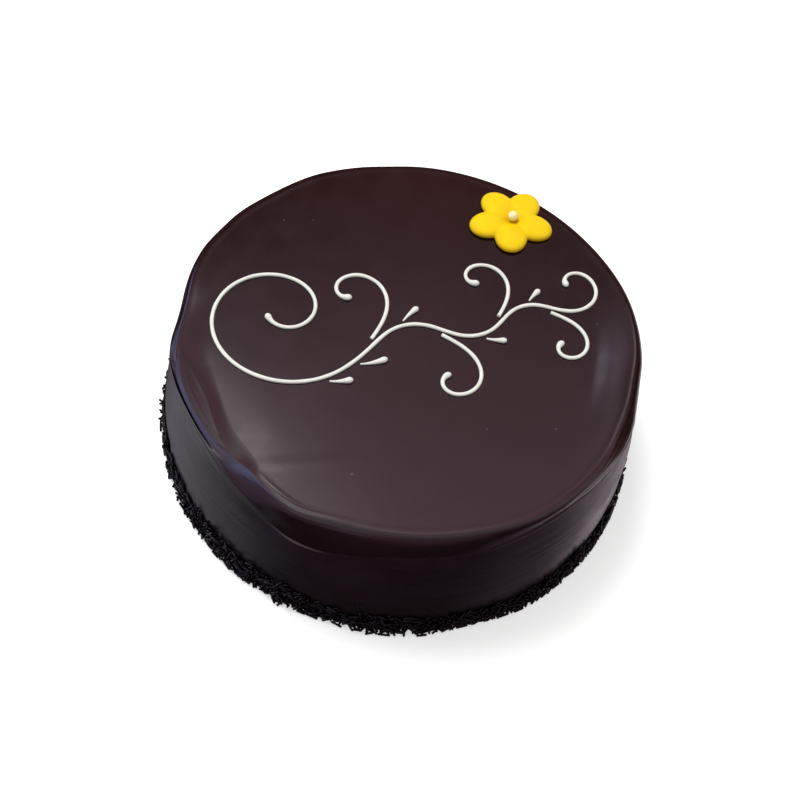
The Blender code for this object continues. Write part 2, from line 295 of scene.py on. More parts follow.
def soft(share):
    """The same share, eased at both ends."""
    share = min(1, max(0, share))
    return share * share * (3 - 2 * share)


def top_height(radius):
    """Height of the even top at a radius, inside the crest."""
    return HEIGHT - DISH * (1 - min(1, radius / CREST_RADIUS) ** 2) ** 2


def side_radius(depth):
    """Radius of the side wall at a depth below the crest."""
    share = between(depth, EDGE_DEPTH, HEIGHT - FOOT_HEIGHT)
    return EDGE_RADIUS + (FOOT_RADIUS - EDGE_RADIUS) * sin(radians(90 * share)) ** SWELL


def on_torte(radius, azimuth, z):
    """Where the glaze has really run to, from a point of the even cake."""
    depth = HEIGHT - z
    foot_depth = HEIGHT - FOOT_HEIGHT
    on_top = between(radius, 0.75 * CREST_RADIUS, CREST_RADIUS)
    if radius < CREST_RADIUS or depth > foot_depth:
        settled = depth
    else:
        skirt = SKIRT_DEPTH + hills(azimuth, SKIRT_HILLS)
        below = between(depth, SKIRT_DEPTH, foot_depth)
        settled = skirt * between(depth, 0, SKIRT_DEPTH) + (foot_depth - skirt) * below
        radius += side_radius(settled) - side_radius(depth)
    radius += on_top * (1 - between(settled, 0, foot_depth)) * hills(azimuth, RIM_HILLS)
    radius += on_top * (1 - between(depth, 0, ROLL_DEPTH)) * hills(azimuth, CREST_HILLS)
    return radius, azimuth, HEIGHT - settled


# ---- making pieces ----

def piece(name, shape, look, slot, *nodes):
    """Makes a finished piece of a bmesh: it rides on the torte and stands for its nodes; the slot is not used."""
    mesh = bpy.data.meshes.new(name)
    shape.to_mesh(mesh)
    shape.free()
    mesh.shade_smooth()
    made = bpy.data.objects.new(name, mesh)
    scene.collection.objects.link(made)
    made.data.materials.append(look)
    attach(made, "root")
    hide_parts(*nodes)
    return made


def spun(profile, steps):
    """A half section of (radius, height) points turned once round Z, as a closed bmesh."""
    shape = bmesh.new()
    points = [shape.verts.new((radius, 0, z)) for radius, z in profile]
    edges = [shape.edges.new(pair) for pair in zip(points, points[1:])]
    bmesh.ops.spin(shape, geom=points + edges, axis=(0, 0, 1), cent=(0, 0, 0), dvec=(0, 0, 0),
                   angle=2 * pi, steps=steps, use_merge=True, use_duplicate=False)
    bmesh.ops.remove_doubles(shape, verts=shape.verts, dist=0.002 * MM)
    bmesh.ops.recalc_face_normals(shape, faces=shape.faces)
    return shape


def reshape(shape, place):
    """Moves each point of a turned shape to place(radius, azimuth, z), and leans the whole."""
    for vertex in shape.verts:
        x, y, z = vertex.co
        radius, azimuth, z = place(hypot(x, y), degrees(atan2(y, x)), z)
        lean = LEAN * (1 - z / HEIGHT)
        vertex.co = (radius * cos(radians(azimuth)) + lean * cos(radians(LEAN_AZIMUTH)),
                     radius * sin(radians(azimuth)) + lean * sin(radians(LEAN_AZIMUTH)), z)


def wander(azimuth, turns, seed, z=0):
    """A smooth random value round the cake, about -1 to 1, with about that many waves a turn."""
    spin = radians(azimuth)
    return noise.noise(Vector((turns / 6 * cos(spin), turns / 6 * sin(spin), seed + z)))


# ---- the glaze ----

ROUND_STEPS = 400
ROLL_START = 97.4 * MM          # radius where the flat top begins to roll over
ROLL_BEND = 3.0 * MM            # how tightly it bends there
CREASE_START = -145             # azimuth where the crease leaves the crest
CREASE_RADIUS = 94.5 * MM
CREASE_SPREAD = 0.30 * MM       # how much further in it lies for each degree beyond
FACET_SLOPE = 0.15
FACET_CURVE = 0.018
LEAN_SLOPE = 0.04              # how far the top already leans where it meets the crease
DENT_AZIMUTH = -25
DENT_SLOPE = 0.06
BEAD_HEIGHT = 0.07 * MM
STREAK_HEIGHT = 0.045 * MM
STREAK_SPACING = 1.45 * MM
WAVE_START = (-84 * MM, -49.8 * MM)


def bent(past, rounding):
    """How far a line has dropped past its bend, for each unit of slope; the bend is rounded off."""
    past = max(0, past)
    return past * past / (2 * rounding) if past < rounding else past - rounding / 2


def crease_drop(radius, azimuth):
    """On one side the top already curves down to the crest: from a crease that softens further round."""
    beyond = (CREASE_START - azimuth) % 360
    if beyond > 180:
        beyond -= 360
    if not -8 < beyond < 85:
        return 0
    crease = CREASE_RADIUS - CREASE_SPREAD * between(beyond, 0, 36) * 36
    strength = soft(beyond / 8) * (1 - soft((beyond - 26) / 40))
    eased = bent(radius - crease, 0.8 * MM + 5 * MM * soft((beyond - 24) / 16))
    leaning = soft((beyond + 8) / 16) * (1 - soft((beyond - 20) / 24)) * bent(radius - crease + 20 * MM, 20 * MM)
    return strength * (FACET_SLOPE * eased + FACET_CURVE * eased * eased / MM) + LEAN_SLOPE * leaning


def dent_drop(radius, azimuth):
    """On the far side the rim sinks a little, from a soft bend."""
    apart = (azimuth - DENT_AZIMUTH + 180) % 360 - 180
    down = bent(radius - 79.8 * MM, 0.8 * MM)
    up = bent(radius - 84 * MM, 2 * MM) + bent(radius - 90 * MM, 4 * MM)
    return DENT_SLOPE * exp(-(apart / 14) ** 2) * (down - 0.5 * up)


def top_ripple(x, y):
    """The soft unevenness of the poured top, and the low wave where two pours met."""
    slow = noise.noise(Vector((x * 18, y * 18, 3.1))) * 0.16 * MM
    along = x - WAVE_START[0]
    across = y - WAVE_START[1] + 0.13 * along
    reach = soft(along / (12 * MM)) * (1 - soft((along - 25 * MM) / (30 * MM)))
    return slow + 0.05 * MM * reach * exp(-(across / (2.4 * MM)) ** 2)


def crest_relief(radius, azimuth):
    """A faint bead along the crest, and on one stretch the thin streaks that the spatula left beside it."""
    bead = BEAD_HEIGHT * (0.8 + 0.5 * wander(azimuth, 30, 14.0)) * exp(-((radius - 96.6 * MM) / (1.1 * MM)) ** 2)
    across = radius - 97.2 * MM + 0.09 * MM * (azimuth + 136)
    stretch = exp(-((azimuth + 136) / 11) ** 2) * exp(-(across / (2.6 * MM)) ** 2)
    return bead + STREAK_HEIGHT * stretch * cos(2 * pi * across / STREAK_SPACING)


def roll_profile():
    """The coat's half section from the flat top to the lip: it bends tightly at first, then ever less."""
    radius, depth = ROLL_START, 0
    points = []
    steps = 220
    for step in range(steps):
        tilt = 88 * (step + 0.5) / steps
        bend = ROLL_BEND + 24 * MM * between(tilt, 45, 88) ** 1.5
        if step % 10 == 0 or (tilt > 60 and step % 4 == 0):
            points.append((radius, HEIGHT - depth))
        radius += bend * cos(radians(tilt)) * radians(88 / steps)
        depth += bend * sin(radians(tilt)) * radians(88 / steps)
    points.append((radius, HEIGHT - depth))
    return points


def top_profile():
    """The top coat's half section: over the top, round the crest, down to the lip and back under."""
    points = []
    for ring in range(64):
        radius = ROLL_START * (1 - (1 - ring / 64) ** 1.45)
        points.append((radius, top_height(radius)))
    points.extend(roll_profile())
    wall, low = points[-1]
    for out, down in ((0.05, 0.3), (-0.2, 0.55), (-0.8, 0.65), (-1.4, -0.4)):
        points.append((wall + out * MM, low - down * MM))
    points.append((side_radius(5 * MM) - 1.4 * MM, HEIGHT - 5 * MM))
    points.append((95.5 * MM, HEIGHT - 2.2 * MM))
    points.append((80 * MM, HEIGHT - 1.9 * MM))
    points.append((0, HEIGHT - 2.2 * MM))
    return points


def run_coat(radius, azimuth, z):
    """Where the poured coat has run to: its lip hangs lower or higher, and its crest lies further in or out."""
    depth = HEIGHT - z
    skirt = SKIRT_DEPTH + hills(azimuth, SKIRT_HILLS)
    settled = depth * (1 + (skirt / SKIRT_DEPTH - 1) * soft(depth / (5 * MM)))
    radius += side_radius(settled) - side_radius(depth)
    on_top = between(radius, 0.75 * ROLL_START, ROLL_START)
    radius += on_top * (1 - between(settled, 0, HEIGHT - FOOT_HEIGHT)) * hills(azimuth, RIM_HILLS)
    radius += on_top * (1 - soft(depth / ROLL_DEPTH)) * hills(azimuth, CREST_HILLS)
    return radius, azimuth, HEIGHT - settled


def on_top_coat(radius, azimuth, z):
    """The poured coat: the torte's own shape with its crease, ripples and an uneven lip."""
    depth = HEIGHT - z
    outer = not (radius < 96 * MM and depth > 1.5 * MM)
    drop = 0
    if outer:
        inner = min(radius, ROLL_START)
        drop = (crease_drop(inner, azimuth) + dent_drop(inner, azimuth)) * (1 - between(depth, 1 * MM, 5 * MM))
        around = radians(azimuth)
        drop -= top_ripple(inner * cos(around), inner * sin(around)) * (1 - between(depth, 0, 3 * MM))
        drop -= crest_relief(radius, azimuth)
    radius, azimuth, z = run_coat(radius, azimuth, z)
    rolled = soft(depth / (3 * MM))
    radius += rolled * (0.20 * MM * wander(azimuth, 22, 5.0) + 0.12 * MM * wander(azimuth, 60, 9.0))
    if depth > 5 * MM:
        uneven = 0.7 * MM * wander(azimuth, 40, 1.5) + 0.35 * MM * wander(azimuth, 110, 7.7)
        z -= uneven * between(depth, 5 * MM, 9 * MM)
    return radius, azimuth, z - drop


def build_top_coat(look):
    shape = spun(top_profile(), ROUND_STEPS)
    reshape(shape, on_top_coat)
    return piece("poured_top_coat", shape, look, "glazed_torte", "glazed_torte")


BUBBLES = ((-43.7, -62.5, 0.80, 0.42), (15.2, -55.0, 0.35, 0.2), (43.0, -61.6, 0.45, 0.25), (-38.1, 73.4, 0.35, 0.2),
           (-25.3, 70.7, 0.3, 0.18), (-5.1, 33.0, 0.25, 0.15), (80.3, -14.4, 0.4, 0.22))   # x, y, radius, height


def build_bubbles(look):
    """The few small bubbles that set in the poured glaze."""
    shape = bmesh.new()
    for x, y, radius, height in BUBBLES:
        place = Vector((x * MM, y * MM, surface_height(x * MM, y * MM) - 0.15 * height * MM))
        stretched = Matrix.Translation(place) @ Matrix.Diagonal((radius * MM, radius * MM, height * MM, 1))
        bmesh.ops.create_uvsphere(shape, u_segments=20, v_segments=12, radius=1, matrix=stretched)
    return piece("glaze_bubbles", shape, look, "glazed_torte", "glazed_torte")


def side_profile():
    """The spread body's half section: a hidden top, the wall, and the foot tucked under."""
    points = [(0, HEIGHT - 1.5 * MM), (90 * MM, HEIGHT - 1.5 * MM), (97.2 * MM, HEIGHT - 2.2 * MM),
              (side_radius(5 * MM) - 0.4 * MM, HEIGHT - 5 * MM), (side_radius(8 * MM) - 0.2 * MM, HEIGHT - 8 * MM)]
    depth = 9.2 * MM
    while depth < HEIGHT - FOOT_HEIGHT:
        points.append((side_radius(depth), HEIGHT - depth))
        depth += 0.5 * MM if depth < 13 * MM else 0.9 * MM
    for z in (12, 9, 6, 3.5):
        points.append((FOOT_RADIUS, z * MM))
    points.append((FOOT_RADIUS, FOOT_TUCK))
    points.append((FOOT_RADIUS - 0.3 * FOOT_TUCK, 0.3 * FOOT_TUCK))
    points.append((FOOT_RADIUS - FOOT_TUCK, 0))
    points.append((0, 0))
    return points


RIDGE_HILLS = ((-82, 8, 0.5), (-62, 13, 1.0), (-40, 10, 1.0), (-132, 8, 0.9), (-155, 8, 0.6))
RIDGE_HEIGHT = 0.9 * MM


def ridge_share(azimuth, depth):
    """How much of the ridge under the lip there is at a place of the side, from 0 to about 1."""
    below = depth - SKIRT_DEPTH - hills(azimuth, SKIRT_HILLS) - 0.9 * MM
    below += 0.5 * MM * wander(azimuth, 70, 31.0)
    return hills(azimuth, RIDGE_HILLS) * exp(-(below / (0.6 * MM)) ** 2)


def on_side(radius, azimuth, z):
    """The spread side: knife marks round it, slow lumps, and a ridge pushed up under the lip."""
    depth = HEIGHT - z
    radius, azimuth, z = on_torte(radius, azimuth, z)
    if depth < 9 * MM or z < 1 * MM:
        return radius, azimuth, z
    settled = HEIGHT - z
    radius += 0.07 * MM * wander(azimuth, 14, 2.0, z * 450)
    radius += 0.04 * MM * wander(azimuth, 30, 12.0, z * 900)
    radius += 0.35 * MM * wander(azimuth, 16, 21.0, z * 60)
    radius += RIDGE_HEIGHT * ridge_share(azimuth, settled)
    radius += fold(azimuth, settled)
    return radius, azimuth, z


def fold(azimuth, depth):
    """A slanting fold in the side, standing proud on one side of its line."""
    line = -129 + (depth - 22 * MM) * 12 / (20.5 * MM)
    apart = (azimuth - line + 180) % 360 - 180
    fade = soft((depth - 16 * MM) / (8 * MM)) * (1 - soft((depth - 40 * MM) / (12 * MM)))
    return 0.55 * MM * fade * (1 - soft((apart + 2.2) / 4)) * exp(-(min(0, apart) / 14) ** 2)


def build_side(look):
    shape = spun(side_profile(), ROUND_STEPS)
    # A layer for a painted highlight: how much of the ridge under the lip there is at each point.
    painted_ridge_highlight = shape.verts.layers.float.new("painted_ridge_highlight")
    for vertex in shape.verts:
        x, y, z = vertex.co
        azimuth, settled = on_torte(hypot(x, y), degrees(atan2(y, x)), z)[1:]
        vertex[painted_ridge_highlight] = ridge_share(azimuth, HEIGHT - settled) if HEIGHT - z > 9 * MM else 0
    reshape(shape, on_side)
    return piece("spread_side_coat", shape, look, "glazed_torte", "glazed_torte")


# ---- materials ----

def principled(name, **values):
    """A new material, with its tree and shader; values are plain numbers for the shader's sockets."""
    look = bpy.data.materials.new(name)
    look.use_nodes = True
    shader = look.node_tree.nodes["Principled BSDF"]
    for socket, value in values.items():
        shader.inputs[socket.replace("_", " ")].default_value = value
    return look, look.node_tree, shader


def uneven_group():
    """A soft mask in uneven patches, which every look shares."""
    group = bpy.data.node_groups.new("Uneven mask", "ShaderNodeTree")
    for name, kind in (("Vector", "NodeSocketVector"), ("Scale", "NodeSocketFloat"), ("Detail", "NodeSocketFloat")):
        group.interface.new_socket(name=name, in_out="INPUT", socket_type=kind)
    group.interface.new_socket(name="Mask", in_out="OUTPUT", socket_type="NodeSocketFloat")
    given = node(group, "NodeGroupInput").outputs
    patches = {"Vector": given["Vector"], "Scale": given["Scale"], "Detail": given["Detail"]}
    patchy = node(group, "ShaderNodeTexNoise", patches).outputs["Fac"]
    node(group, "NodeGroupOutput", {"Mask": spread(group, patchy, 0.3, 0.7)})
    return group


def mask(tree, place, scale, detail=2):
    """The shared uneven mask at a place; scale is in patches a metre."""
    given = {"Vector": place, "Scale": scale, "Detail": detail}
    shared = bpy.data.node_groups.get("Uneven mask") or uneven_group()
    return node(tree, "ShaderNodeGroup", given, node_tree=shared).outputs["Mask"]


def roughen(tree, shader, height, depth):
    """A fine relief of the given depth in metres, where height is a mask."""
    relief = node(tree, "ShaderNodeBump", {"Height": height, "Distance": depth, "Strength": 1.0})
    tree.links.new(relief.outputs["Normal"], shader.inputs["Normal"])


def glaze_look():
    """Poured glaze: near black under its gloss, cloudy, with a skin that is nowhere quite even."""
    look, tree, shader = principled("Poured chocolate glaze", Roughness=0.2)
    place = node(tree, "ShaderNodeTexCoord").outputs["Object"]
    brown = blend(tree, mask(tree, place, 16, 3), (0.0042, 0.0010, 0.0016, 1), (0.0062, 0.0014, 0.0020, 1))
    tree.links.new(brown, shader.inputs["Base Color"])
    tree.links.new(spread_evenly(tree, mask(tree, place, 90), 0, 1, 0.175, 0.22), shader.inputs["Roughness"])
    roughen(tree, shader, mask(tree, place, 420), 0.003 * MM)
    return look


def bubble_highlight_look():
    """The skin over a bubble, much paler than the glaze: a painted highlight."""
    look, tree, shader = principled("Bubble with painted highlight", Roughness=0.3)
    place = node(tree, "ShaderNodeTexCoord").outputs["Object"]
    # painted highlight: the pale grey stands in for the light that each small dome catches
    brown = blend(tree, mask(tree, place, 900), (0.05, 0.042, 0.046, 1), (0.075, 0.065, 0.07, 1))
    tree.links.new(brown, shader.inputs["Base Color"])
    tree.links.new(spread_evenly(tree, mask(tree, place, 1500), 0, 1, 0.25, 0.4), shader.inputs["Roughness"])
    return look


def side_look():
    """Spread chocolate: duller than the glaze, drawn out round the side by the knife, with a painted highlight along
    the ridge under the lip.
    """
    look, tree, shader = principled("Spread chocolate", Roughness=0.36)
    place = node(tree, "ShaderNodeTexCoord").outputs["Object"]
    drawn_out = node(tree, "ShaderNodeMapping", {"Vector": place, "Scale": (25, 25, 500)}).outputs[0]
    marks = mask(tree, drawn_out, 1, 3)
    brown = blend(tree, marks, (0.0036, 0.0014, 0.0022, 1), (0.0060, 0.0024, 0.0034, 1))
    # painted highlight: a pale line along the ridge under the lip, where it would catch the light
    painted_ridge_highlight = node(tree, "ShaderNodeAttribute", attribute_name="painted_ridge_highlight").outputs["Fac"]
    brown = blend(tree, spread(tree, painted_ridge_highlight, 0.25, 0.9), brown, (0.055, 0.046, 0.050, 1))
    tree.links.new(brown, shader.inputs["Base Color"])
    patches = mask(tree, place, 60)
    tree.links.new(spread_evenly(tree, patches, 0, 1, 0.27, 0.4), shader.inputs["Roughness"])
    roughen(tree, shader, marks, 0.03 * MM)
    return look


def icing_look():
    """Piped icing: dull white, slightly grainy."""
    look, tree, shader = principled("White icing", Roughness=0.5)
    place = node(tree, "ShaderNodeTexCoord").outputs["Object"]
    white = blend(tree, mask(tree, place, 250), (0.76, 0.76, 0.70, 1), (0.84, 0.84, 0.78, 1))
    tree.links.new(white, shader.inputs["Base Color"])
    tree.links.new(spread_evenly(tree, mask(tree, place, 600), 0, 1, 0.42, 0.58), shader.inputs["Roughness"])
    roughen(tree, shader, mask(tree, place, 900), 0.01 * MM)
    return look


# ---- the sprinkles ----

RODS = 2300
ROD_RADIUS = 0.54 * MM
ROD_LENGTHS = (3.6 * MM, 6.0 * MM)
BORDER_WIDTH = 2.5 * MM
WIDTH_HILLS = ((-158, 16, -0.5), (156, 25, 0.9), (-42, 24, -0.4), (-122, 14, 0.2))
# How high the sprinkles reach: a common height, and hills of more or less.
BAND_HEIGHT = 10.5 * MM
BAND_HILLS = ((-140, 22, 3.5 * MM), (172, 30, 7.5 * MM), (-112, 10, 1.5 * MM), (-85, 15, -1.5 * MM),
              (-50, 18, 2.5 * MM), (60, 40, 1.0 * MM))


def heap_width(azimuth):
    """How far the heap reaches out from the foot at the table."""
    return BORDER_WIDTH * (1 + hills(azimuth, WIDTH_HILLS))


def over_azimuths(measure):
    """A function of azimuth tabled at every degree, for arrays of azimuths in degrees."""
    table = np.array([measure(azimuth) for azimuth in range(-180, 181)])
    return lambda azimuths: np.interp((azimuths + 180) % 360 - 180, range(-180, 181), table)


def nearest_on_rods(p, d, q, e):
    """Where two rods p to p+d and q to q+e come nearest, as shares of each."""
    r = p - q
    a = (d * d).sum(1)
    b = (d * e).sum(1)
    c = (e * e).sum(1)
    f = (d * r).sum(1)
    g = (e * r).sum(1)
    s = np.clip((b * g - c * f) / np.maximum(a * c - b * b, 1e-18), 0, 1)
    t = np.clip((b * s + g) / c, 0, 1)
    s = np.clip((b * t - f) / a, 0, 1)
    return s, t


def settle_rods():
    """Presses the rods against the foot of the cake and pushes apart those that lie in another, for 90 rounds: their
    two ends.
    """
    random = np.random.default_rng(7)
    width_at = over_azimuths(heap_width)
    band_at = over_azimuths(lambda azimuth: BAND_HEIGHT + hills(azimuth, BAND_HILLS))
    azimuths = random.uniform(-180, 180, RODS)
    rise = random.uniform(0, 1, RODS) ** 1.25
    z = ROD_RADIUS + rise * band_at(azimuths) * random.uniform(0.85, 1.05, RODS)
    out = random.uniform(0, 1, RODS) * width_at(azimuths) * (1 - rise * 0.8)
    radius = FOOT_RADIUS + ROD_RADIUS + out
    angle = radians(1) * azimuths
    outward = np.stack([np.cos(angle), np.sin(angle), 0 * angle], 1)
    along = np.stack([-np.sin(angle), np.cos(angle), 0 * angle], 1)
    tilt = random.uniform(0, np.pi, RODS)
    lift = random.normal(0, 0.25, RODS)
    loose = random.uniform(0, 1, RODS) < 0.14
    lift[loose] = random.uniform(0.5, 1.2, loose.sum())
    flat = along * np.cos(tilt)[:, None] + np.array((0, 0, 1)) * np.sin(tilt)[:, None]
    heading = flat * np.cos(lift)[:, None] + outward * np.sin(lift)[:, None]
    length = random.uniform(*ROD_LENGTHS, RODS) - 2 * ROD_RADIUS
    middle = outward * radius[:, None] + np.array((0, 0, 1)) * z[:, None]
    heads = middle + heading * length[:, None] / 2
    tails = middle - heading * length[:, None] / 2
    low, high = (np.array(corner) for corner in cad_box)
    for step in range(90):
        if step % 15 == 0:
            middle = (heads + tails) / 2
            near = ((middle[:, None, :] - middle[None, :, :]) ** 2).sum(2) < (7 * MM) ** 2
            first, second = np.nonzero(np.triu(near, 1))
        push_rods_apart(heads, tails, first, second)
        keep_rods_in_heap(heads, tails, width_at, band_at, low, high)
        middle = (heads + tails) / 2
        half = heads - tails
        half *= (length / np.linalg.norm(half, axis=1) / 2)[:, None]
        heads[:] = middle + half
        tails[:] = middle - half
    return heads, tails


def push_rods_apart(heads, tails, first, second):
    """Moves the nearest points of touching rods apart, each end by its share."""
    s, t = nearest_on_rods(tails[first], heads[first] - tails[first], tails[second], heads[second] - tails[second])
    s = s[:, None]
    t = t[:, None]
    gap = (tails[first] * (1 - s) + heads[first] * s) - (tails[second] * (1 - t) + heads[second] * t)
    distance = np.linalg.norm(gap, axis=1)
    touching = distance < 2 * ROD_RADIUS
    push = gap[touching] / np.maximum(distance[touching], 1e-9)[:, None]
    push *= (0.35 * (2 * ROD_RADIUS - distance[touching]))[:, None]
    s, t = s[touching], t[touching]
    np.add.at(heads, first[touching], push * s)
    np.add.at(tails, first[touching], push * (1 - s))
    np.add.at(heads, second[touching], -push * t)
    np.add.at(tails, second[touching], -push * (1 - t))


def keep_rods_in_heap(heads, tails, width_at, band_at, low, high):
    """Draws the rods inwards and down a little, and keeps them out of the cake and the table."""
    shift = LEAN * np.array((cos(radians(LEAN_AZIMUTH)), sin(radians(LEAN_AZIMUTH))))
    for ends in (heads, tails):
        ends[:, :2] -= shift
        radius = np.hypot(ends[:, 0], ends[:, 1])
        azimuths = np.degrees(np.arctan2(ends[:, 1], ends[:, 0]))
        inside = FOOT_RADIUS + ROD_RADIUS + 0.1 * MM
        outside = inside + width_at(azimuths) * (1.15 - 0.5 * np.clip(ends[:, 2] / band_at(azimuths), 0, 1)) + 0.4 * MM
        wanted = np.where(radius > outside, radius - 0.3 * (radius - outside), radius - 0.02 * MM)
        wanted = np.maximum(wanted, inside)
        ends[:, :2] *= (wanted / radius)[:, None]
        ends[:, :2] += shift
        ends[:, 2] -= 0.015 * MM
        margin = 1.36 * ROD_RADIUS
        np.clip(ends, low + margin, high - margin, out=ends)


def build_sprinkles(look):
    """Every sprinkle a short blunt rod, pressed against the foot of the cake."""
    shape = bmesh.new()
    heads, tails = settle_rods()
    for first in range(0, RODS, 50):
        few = bmesh.new()
        for head, tail in zip(heads[first:first + 50], tails[first:first + 50]):
            add_rod(few, Vector(head), Vector(tail))
        rims = [edge for edge in few.edges if any(len(face.verts) == 8 for face in edge.link_faces)]
        bmesh.ops.bevel(few, geom=rims, offset=0.28 * MM, offset_type="OFFSET", segments=1, profile=0.5,
                        affect="EDGES", material=-1)
        batch = bpy.data.meshes.new("few rods")
        few.to_mesh(batch)
        few.free()
        shape.from_mesh(batch)
        bpy.data.meshes.remove(batch)
    return piece("chocolate_sprinkles", shape, look, "sprinkle_border", "sprinkle_border")


def add_rod(shape, head, tail):
    """One eight-sided rod whose round ends would reach a radius past head and tail."""
    line = head - tail
    stand = Matrix.Translation((head + tail) / 2) @ line.to_track_quat("Z", "Y").to_matrix().to_4x4()
    bmesh.ops.create_cone(shape, cap_ends=True, segments=8, radius1=ROD_RADIUS, radius2=0.96 * ROD_RADIUS,
                          depth=line.length + 2 * ROD_RADIUS, matrix=stand)


def build_sprinkle_bed(look):
    """A dark bed behind the sprinkles, where they lie closest."""
    inside = FOOT_RADIUS - 0.3 * MM
    profile = [(inside, 0.2 * MM), (inside, 6.5 * MM), (inside + 0.6 * MM, 6.3 * MM), (inside + 1.1 * MM, 4 * MM),
               (inside + 1.3 * MM, 1.5 * MM), (inside + 1.2 * MM, 0.2 * MM), (inside, 0.2 * MM)]
    shape = spun(profile, 240)

    def uneven(radius, azimuth, z):
        rough = 0.25 * MM * wander(azimuth, 120, 3.0, z * 300)
        return radius + (rough if radius > inside + 0.1 * MM else 0), azimuth, z * (1 + 0.15 * wander(azimuth, 60, 8.0))

    reshape(shape, uneven)
    return piece("sprinkle_bed", shape, look, "sprinkle_border", "sprinkle_border")


def sprinkle_look():
    look, tree, shader = principled("Dark sprinkle", Roughness=0.22, Specular_IOR_Level=0.14)
    place = node(tree, "ShaderNodeTexCoord").outputs["Object"]
    brown = blend(tree, mask(tree, place, 260, 1), (0.0015, 0.0010, 0.0012, 1), (0.0040, 0.0026, 0.0032, 1))
    tree.links.new(brown, shader.inputs["Base Color"])
    tree.links.new(spread_evenly(tree, mask(tree, place, 500, 1), 0, 1, 0.12, 0.26), shader.inputs["Roughness"])
    roughen(tree, shader, mask(tree, place, 1500), 0.012 * MM)
    return look


# ---- the flower ----

FLOWER_PLACE = (63.5 * MM, 50.2 * MM)
PETALS = ((-112, 11.7 * MM), (-179, 13.0 * MM), (109, 11.7 * MM), (40, 11.7 * MM), (-38, 11.7 * MM))
PETAL_RADIUS = 7.6 * MM
PETAL_HEIGHT = 3.4 * MM
PETAL_STRETCH = 1.7 * MM        # how much further a petal reaches inwards than a round one
HOLLOW_RADIUS = 9.0 * MM
HOLLOW_HEIGHT = 1.6 * MM
UNDERSIDE = 0.8 * MM
PEARL_RADIUS = 2.35 * MM


def puff(shape, centre, width, length, height, turn=0):
    """A round puffed pillow: flat below, full at its sides, lower towards the flower's middle."""
    made = bmesh.ops.create_uvsphere(shape, u_segments=48, v_segments=24, radius=1)
    turned = Matrix.Rotation(radians(turn), 2)
    for vertex in made["verts"]:
        across = min(1, hypot(vertex.co.x, vertex.co.y))
        x, y = turned @ Vector((length * vertex.co.x, width * vertex.co.y)) + Vector(centre)
        inwards = 1 - soft(hypot(x, y) / (8.5 * MM))
        rise = (1 - across ** 2) ** 0.36 * (1 - 0.5 * inwards)
        vertex.co = (x, y, height * rise if vertex.co.z > 0 else -UNDERSIDE * min(1, 2.6 * sqrt(1 - across)))


def fused(shape, voxel):
    """Several overlapping closed shapes as one skin."""
    rough = bpy.data.meshes.new("rough")
    shape.to_mesh(rough)
    shape.free()
    holder = bpy.data.objects.new("rough", rough)
    scene.collection.objects.link(holder)
    skin = holder.modifiers.new("Skin", "REMESH")
    skin.mode = "VOXEL"
    skin.voxel_size = voxel
    skinned = bpy.data.meshes.new_from_object(holder.evaluated_get(bpy.context.evaluated_depsgraph_get()))
    result = bmesh.new()
    result.from_mesh(skinned)
    bpy.data.objects.remove(holder)
    bpy.data.meshes.remove(rough)
    bpy.data.meshes.remove(skinned)
    return result


def build_flower(look):
    shape = bmesh.new()
    puff(shape, (0, 0), HOLLOW_RADIUS, HOLLOW_RADIUS, HOLLOW_HEIGHT)
    for turn, distance in PETALS:
        middle = distance - PETAL_STRETCH
        centre = (middle * cos(radians(turn)), middle * sin(radians(turn)))
        puff(shape, centre, PETAL_RADIUS, PETAL_RADIUS + PETAL_STRETCH, PETAL_HEIGHT, turn)
    shape = fused(shape, 0.3 * MM)
    for _ in range(6):
        bmesh.ops.smooth_vert(shape, verts=shape.verts, factor=0.5, use_axis_x=True, use_axis_y=True, use_axis_z=True)
    place = Vector((*FLOWER_PLACE, top_height(hypot(*FLOWER_PLACE)) + UNDERSIDE - 0.1 * MM))
    bmesh.ops.translate(shape, verts=shape.verts, vec=place)
    return piece("sugar_flower_petals", shape, look, "sugar_flower", "sugar_flower")


def build_pearl(look):
    shape = bmesh.new()
    bmesh.ops.create_uvsphere(shape, u_segments=40, v_segments=24, radius=PEARL_RADIUS)
    base = top_height(hypot(*FLOWER_PLACE)) + UNDERSIDE + HOLLOW_HEIGHT
    bmesh.ops.translate(shape, verts=shape.verts, vec=Vector((*FLOWER_PLACE, base + 0.8 * PEARL_RADIUS)))
    return piece("sugar_flower_pearl", shape, look, "flower_pearl", "flower_pearl")


def height_share(tree, place, low, high):
    """How far up a place is from low to high above the flower's underside, as a soft step."""
    under = top_height(hypot(*FLOWER_PLACE)) + UNDERSIDE
    up = node(tree, "ShaderNodeSeparateXYZ", {0: place}).outputs["Z"]
    return spread(tree, up, under + low, under + high)


def flower_look():
    """Yellow sugar paste: full yellow on its face, and painted shade that makes it deeper down its sides."""
    look, tree, shader = principled("Yellow sugar paste", Roughness=0.42, Specular_IOR_Level=0.3)
    place = node(tree, "ShaderNodeTexCoord").outputs["Object"]
    face = blend(tree, mask(tree, place, 180), (0.87, 0.58, 0.001, 1), (0.92, 0.62, 0.0015, 1))
    # painted shade: darker, deeper yellow low down the petals' sides
    yellow = blend(tree, height_share(tree, place, -0.2 * MM, 2.6 * MM), (0.62, 0.38, 0.0005, 1), face)
    tree.links.new(yellow, shader.inputs["Base Color"])
    tree.links.new(spread_evenly(tree, mask(tree, place, 300), 0, 1, 0.36, 0.5), shader.inputs["Roughness"])
    roughen(tree, shader, mask(tree, place, 700), 0.012 * MM)
    return look


